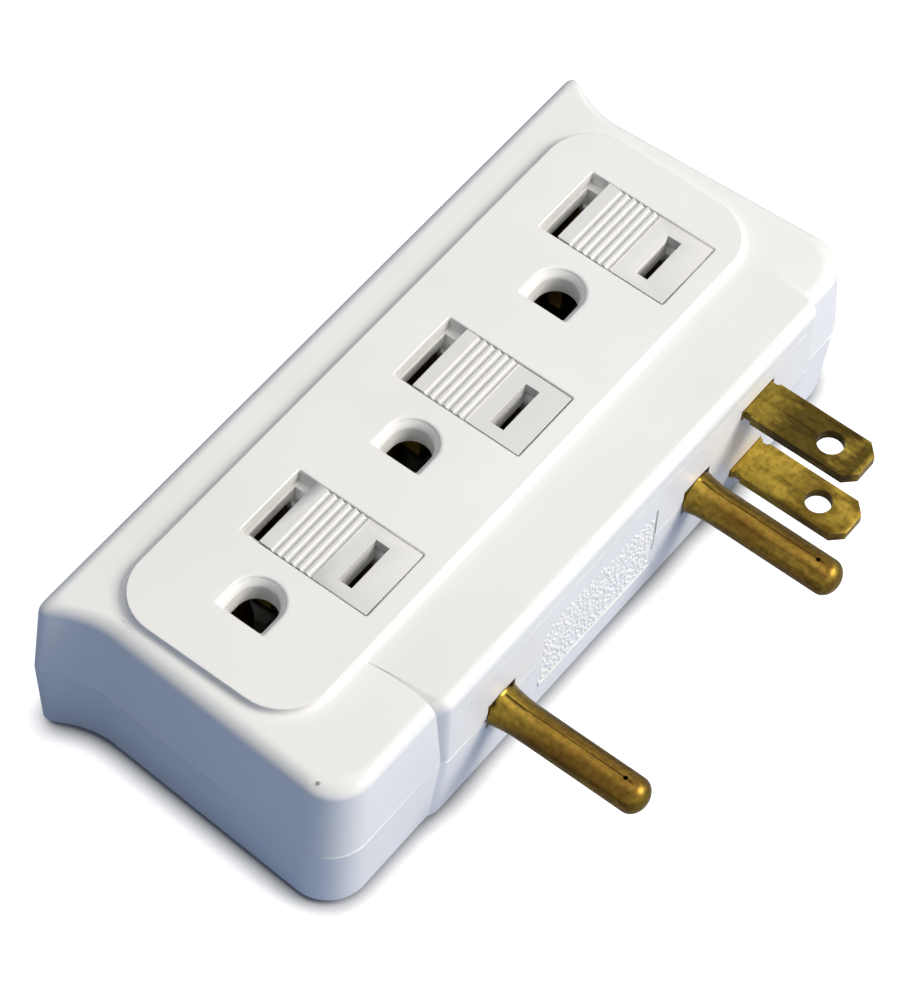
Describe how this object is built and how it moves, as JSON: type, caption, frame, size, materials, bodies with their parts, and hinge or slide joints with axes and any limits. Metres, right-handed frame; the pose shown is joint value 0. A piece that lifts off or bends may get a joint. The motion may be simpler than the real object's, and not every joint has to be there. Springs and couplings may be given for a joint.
{
  "type": "outlet side tap",
  "caption": "Long plastic tap that plugs into a wall outlet by prongs on its side and offers grounded outlets with sliding shutters on its front.",
  "frame": {"origin": "under the middle of the whole part, on the surface that the flat back rests on", "axes": "+X points into the wall along the prongs, +Y runs along the body towards the blades, +Z faces the user"},
  "size_m": [0.0671, 0.105, 0.0266],
  "materials": {
    "housing_plastic": "smooth moulded white with a soft sheen",
    "shutter_plastic": "smooth moulded warm white",
    "prong_brass": "tarnished drawn strip",
    "contact_brass": "bright rolled strip",
    "zinc_steel": "zinc plated"
  },
  "bodies": {
    "housing": {"front_cover": "housing_plastic", "back_cover": "housing_plastic", "hot_contact_upper": "contact_brass", "neutral_contact_upper": "contact_brass", "ground_contact_upper": "contact_brass", "hot_contact_middle": "contact_brass", "neutral_contact_middle": "contact_brass", "ground_contact_middle": "contact_brass", "hot_contact_lower": "contact_brass", "neutral_contact_lower": "contact_brass", "ground_contact_lower": "contact_brass", "hot_bus": "contact_brass", "neutral_bus": "contact_brass", "ground_bus": "contact_brass", "hot_blade": "prong_brass", "neutral_blade": "prong_brass", "ground_pin_upper": "prong_brass", "ground_pin_lower": "prong_brass", "screw_upper_wall": "zinc_steel", "screw_upper_room": "zinc_steel", "screw_lower_wall": "zinc_steel", "screw_lower_room": "zinc_steel"},
    "slider_upper": {"shutter_upper": "shutter_plastic"},
    "slider_middle": {"shutter_middle": "shutter_plastic"},
    "slider_lower": {"shutter_lower": "shutter_plastic"}
  },
  "joints": [
    {"name": "shutter_slide_upper", "type": "slide", "parent": "housing", "child": "slider_upper", "axis": [-1, 0, 0], "range_m": [0, 0.0026]},
    {"name": "shutter_slide_middle", "type": "slide", "parent": "housing", "child": "slider_middle", "axis": [-1, 0, 0], "range_m": [0, 0.0026]},
    {"name": "shutter_slide_lower", "type": "slide", "parent": "housing", "child": "slider_lower", "axis": [-1, 0, 0], "range_m": [0, 0.0026]}
  ]
}
